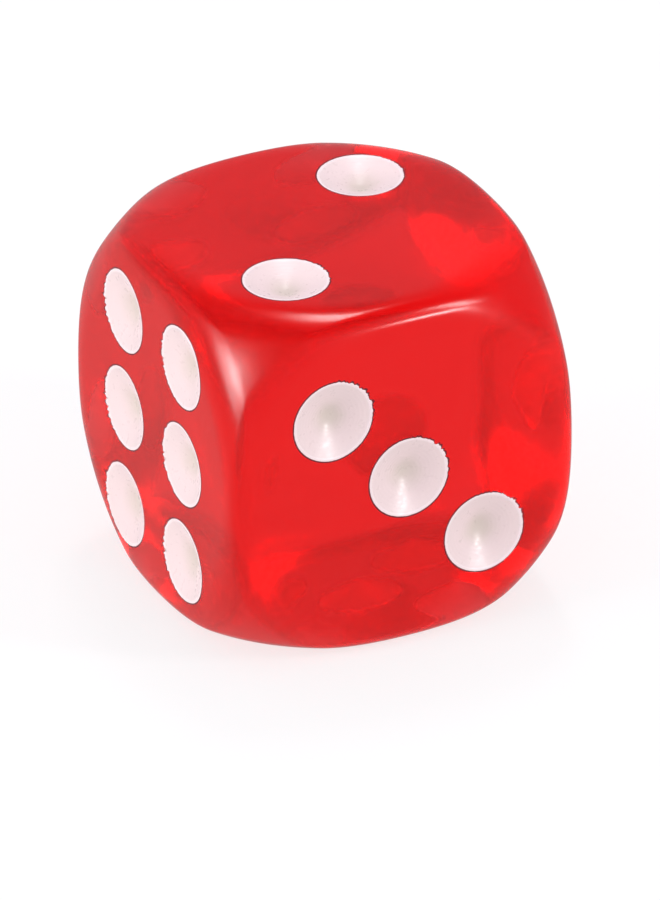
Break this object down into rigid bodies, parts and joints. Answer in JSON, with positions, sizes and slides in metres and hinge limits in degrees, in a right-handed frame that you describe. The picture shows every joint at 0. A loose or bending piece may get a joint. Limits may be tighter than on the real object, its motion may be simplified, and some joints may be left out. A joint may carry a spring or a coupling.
{
  "type": "casino die",
  "caption": "Clear acrylic gaming cube with tumbled corners and enamel-lined pips, rolled to give a random number.",
  "frame": {"origin": "middle of the cube", "axes": "+Z out of the two, -Y out of the three, -X out of the six; five, four and one are opposite them"},
  "size_m": [0.016, 0.016, 0.016],
  "materials": {
    "clear_red_acrylic": "clear ruby red acrylic, polished faces, satin tumbled corners",
    "white_enamel": "semi-gloss white enamel"
  },
  "bodies": {
    "root": {"die_body": "clear_red_acrylic", "pip_one_centre": "white_enamel", "pip_two_bottom_left": "white_enamel", "pip_two_top_right": "white_enamel", "pip_three_centre": "white_enamel", "pip_three_top_left": "white_enamel", "pip_three_bottom_right": "white_enamel", "pip_four_bottom_left": "white_enamel", "pip_four_top_right": "white_enamel", "pip_four_top_left": "white_enamel", "pip_four_bottom_right": "white_enamel", "pip_five_centre": "white_enamel", "pip_five_bottom_left": "white_enamel", "pip_five_top_right": "white_enamel", "pip_five_top_left": "white_enamel", "pip_five_bottom_right": "white_enamel", "pip_six_bottom_left": "white_enamel", "pip_six_bottom_right": "white_enamel", "pip_six_middle_left": "white_enamel", "pip_six_middle_right": "white_enamel", "pip_six_top_left": "white_enamel", "pip_six_top_right": "white_enamel"}
  },
  "joints": []
}
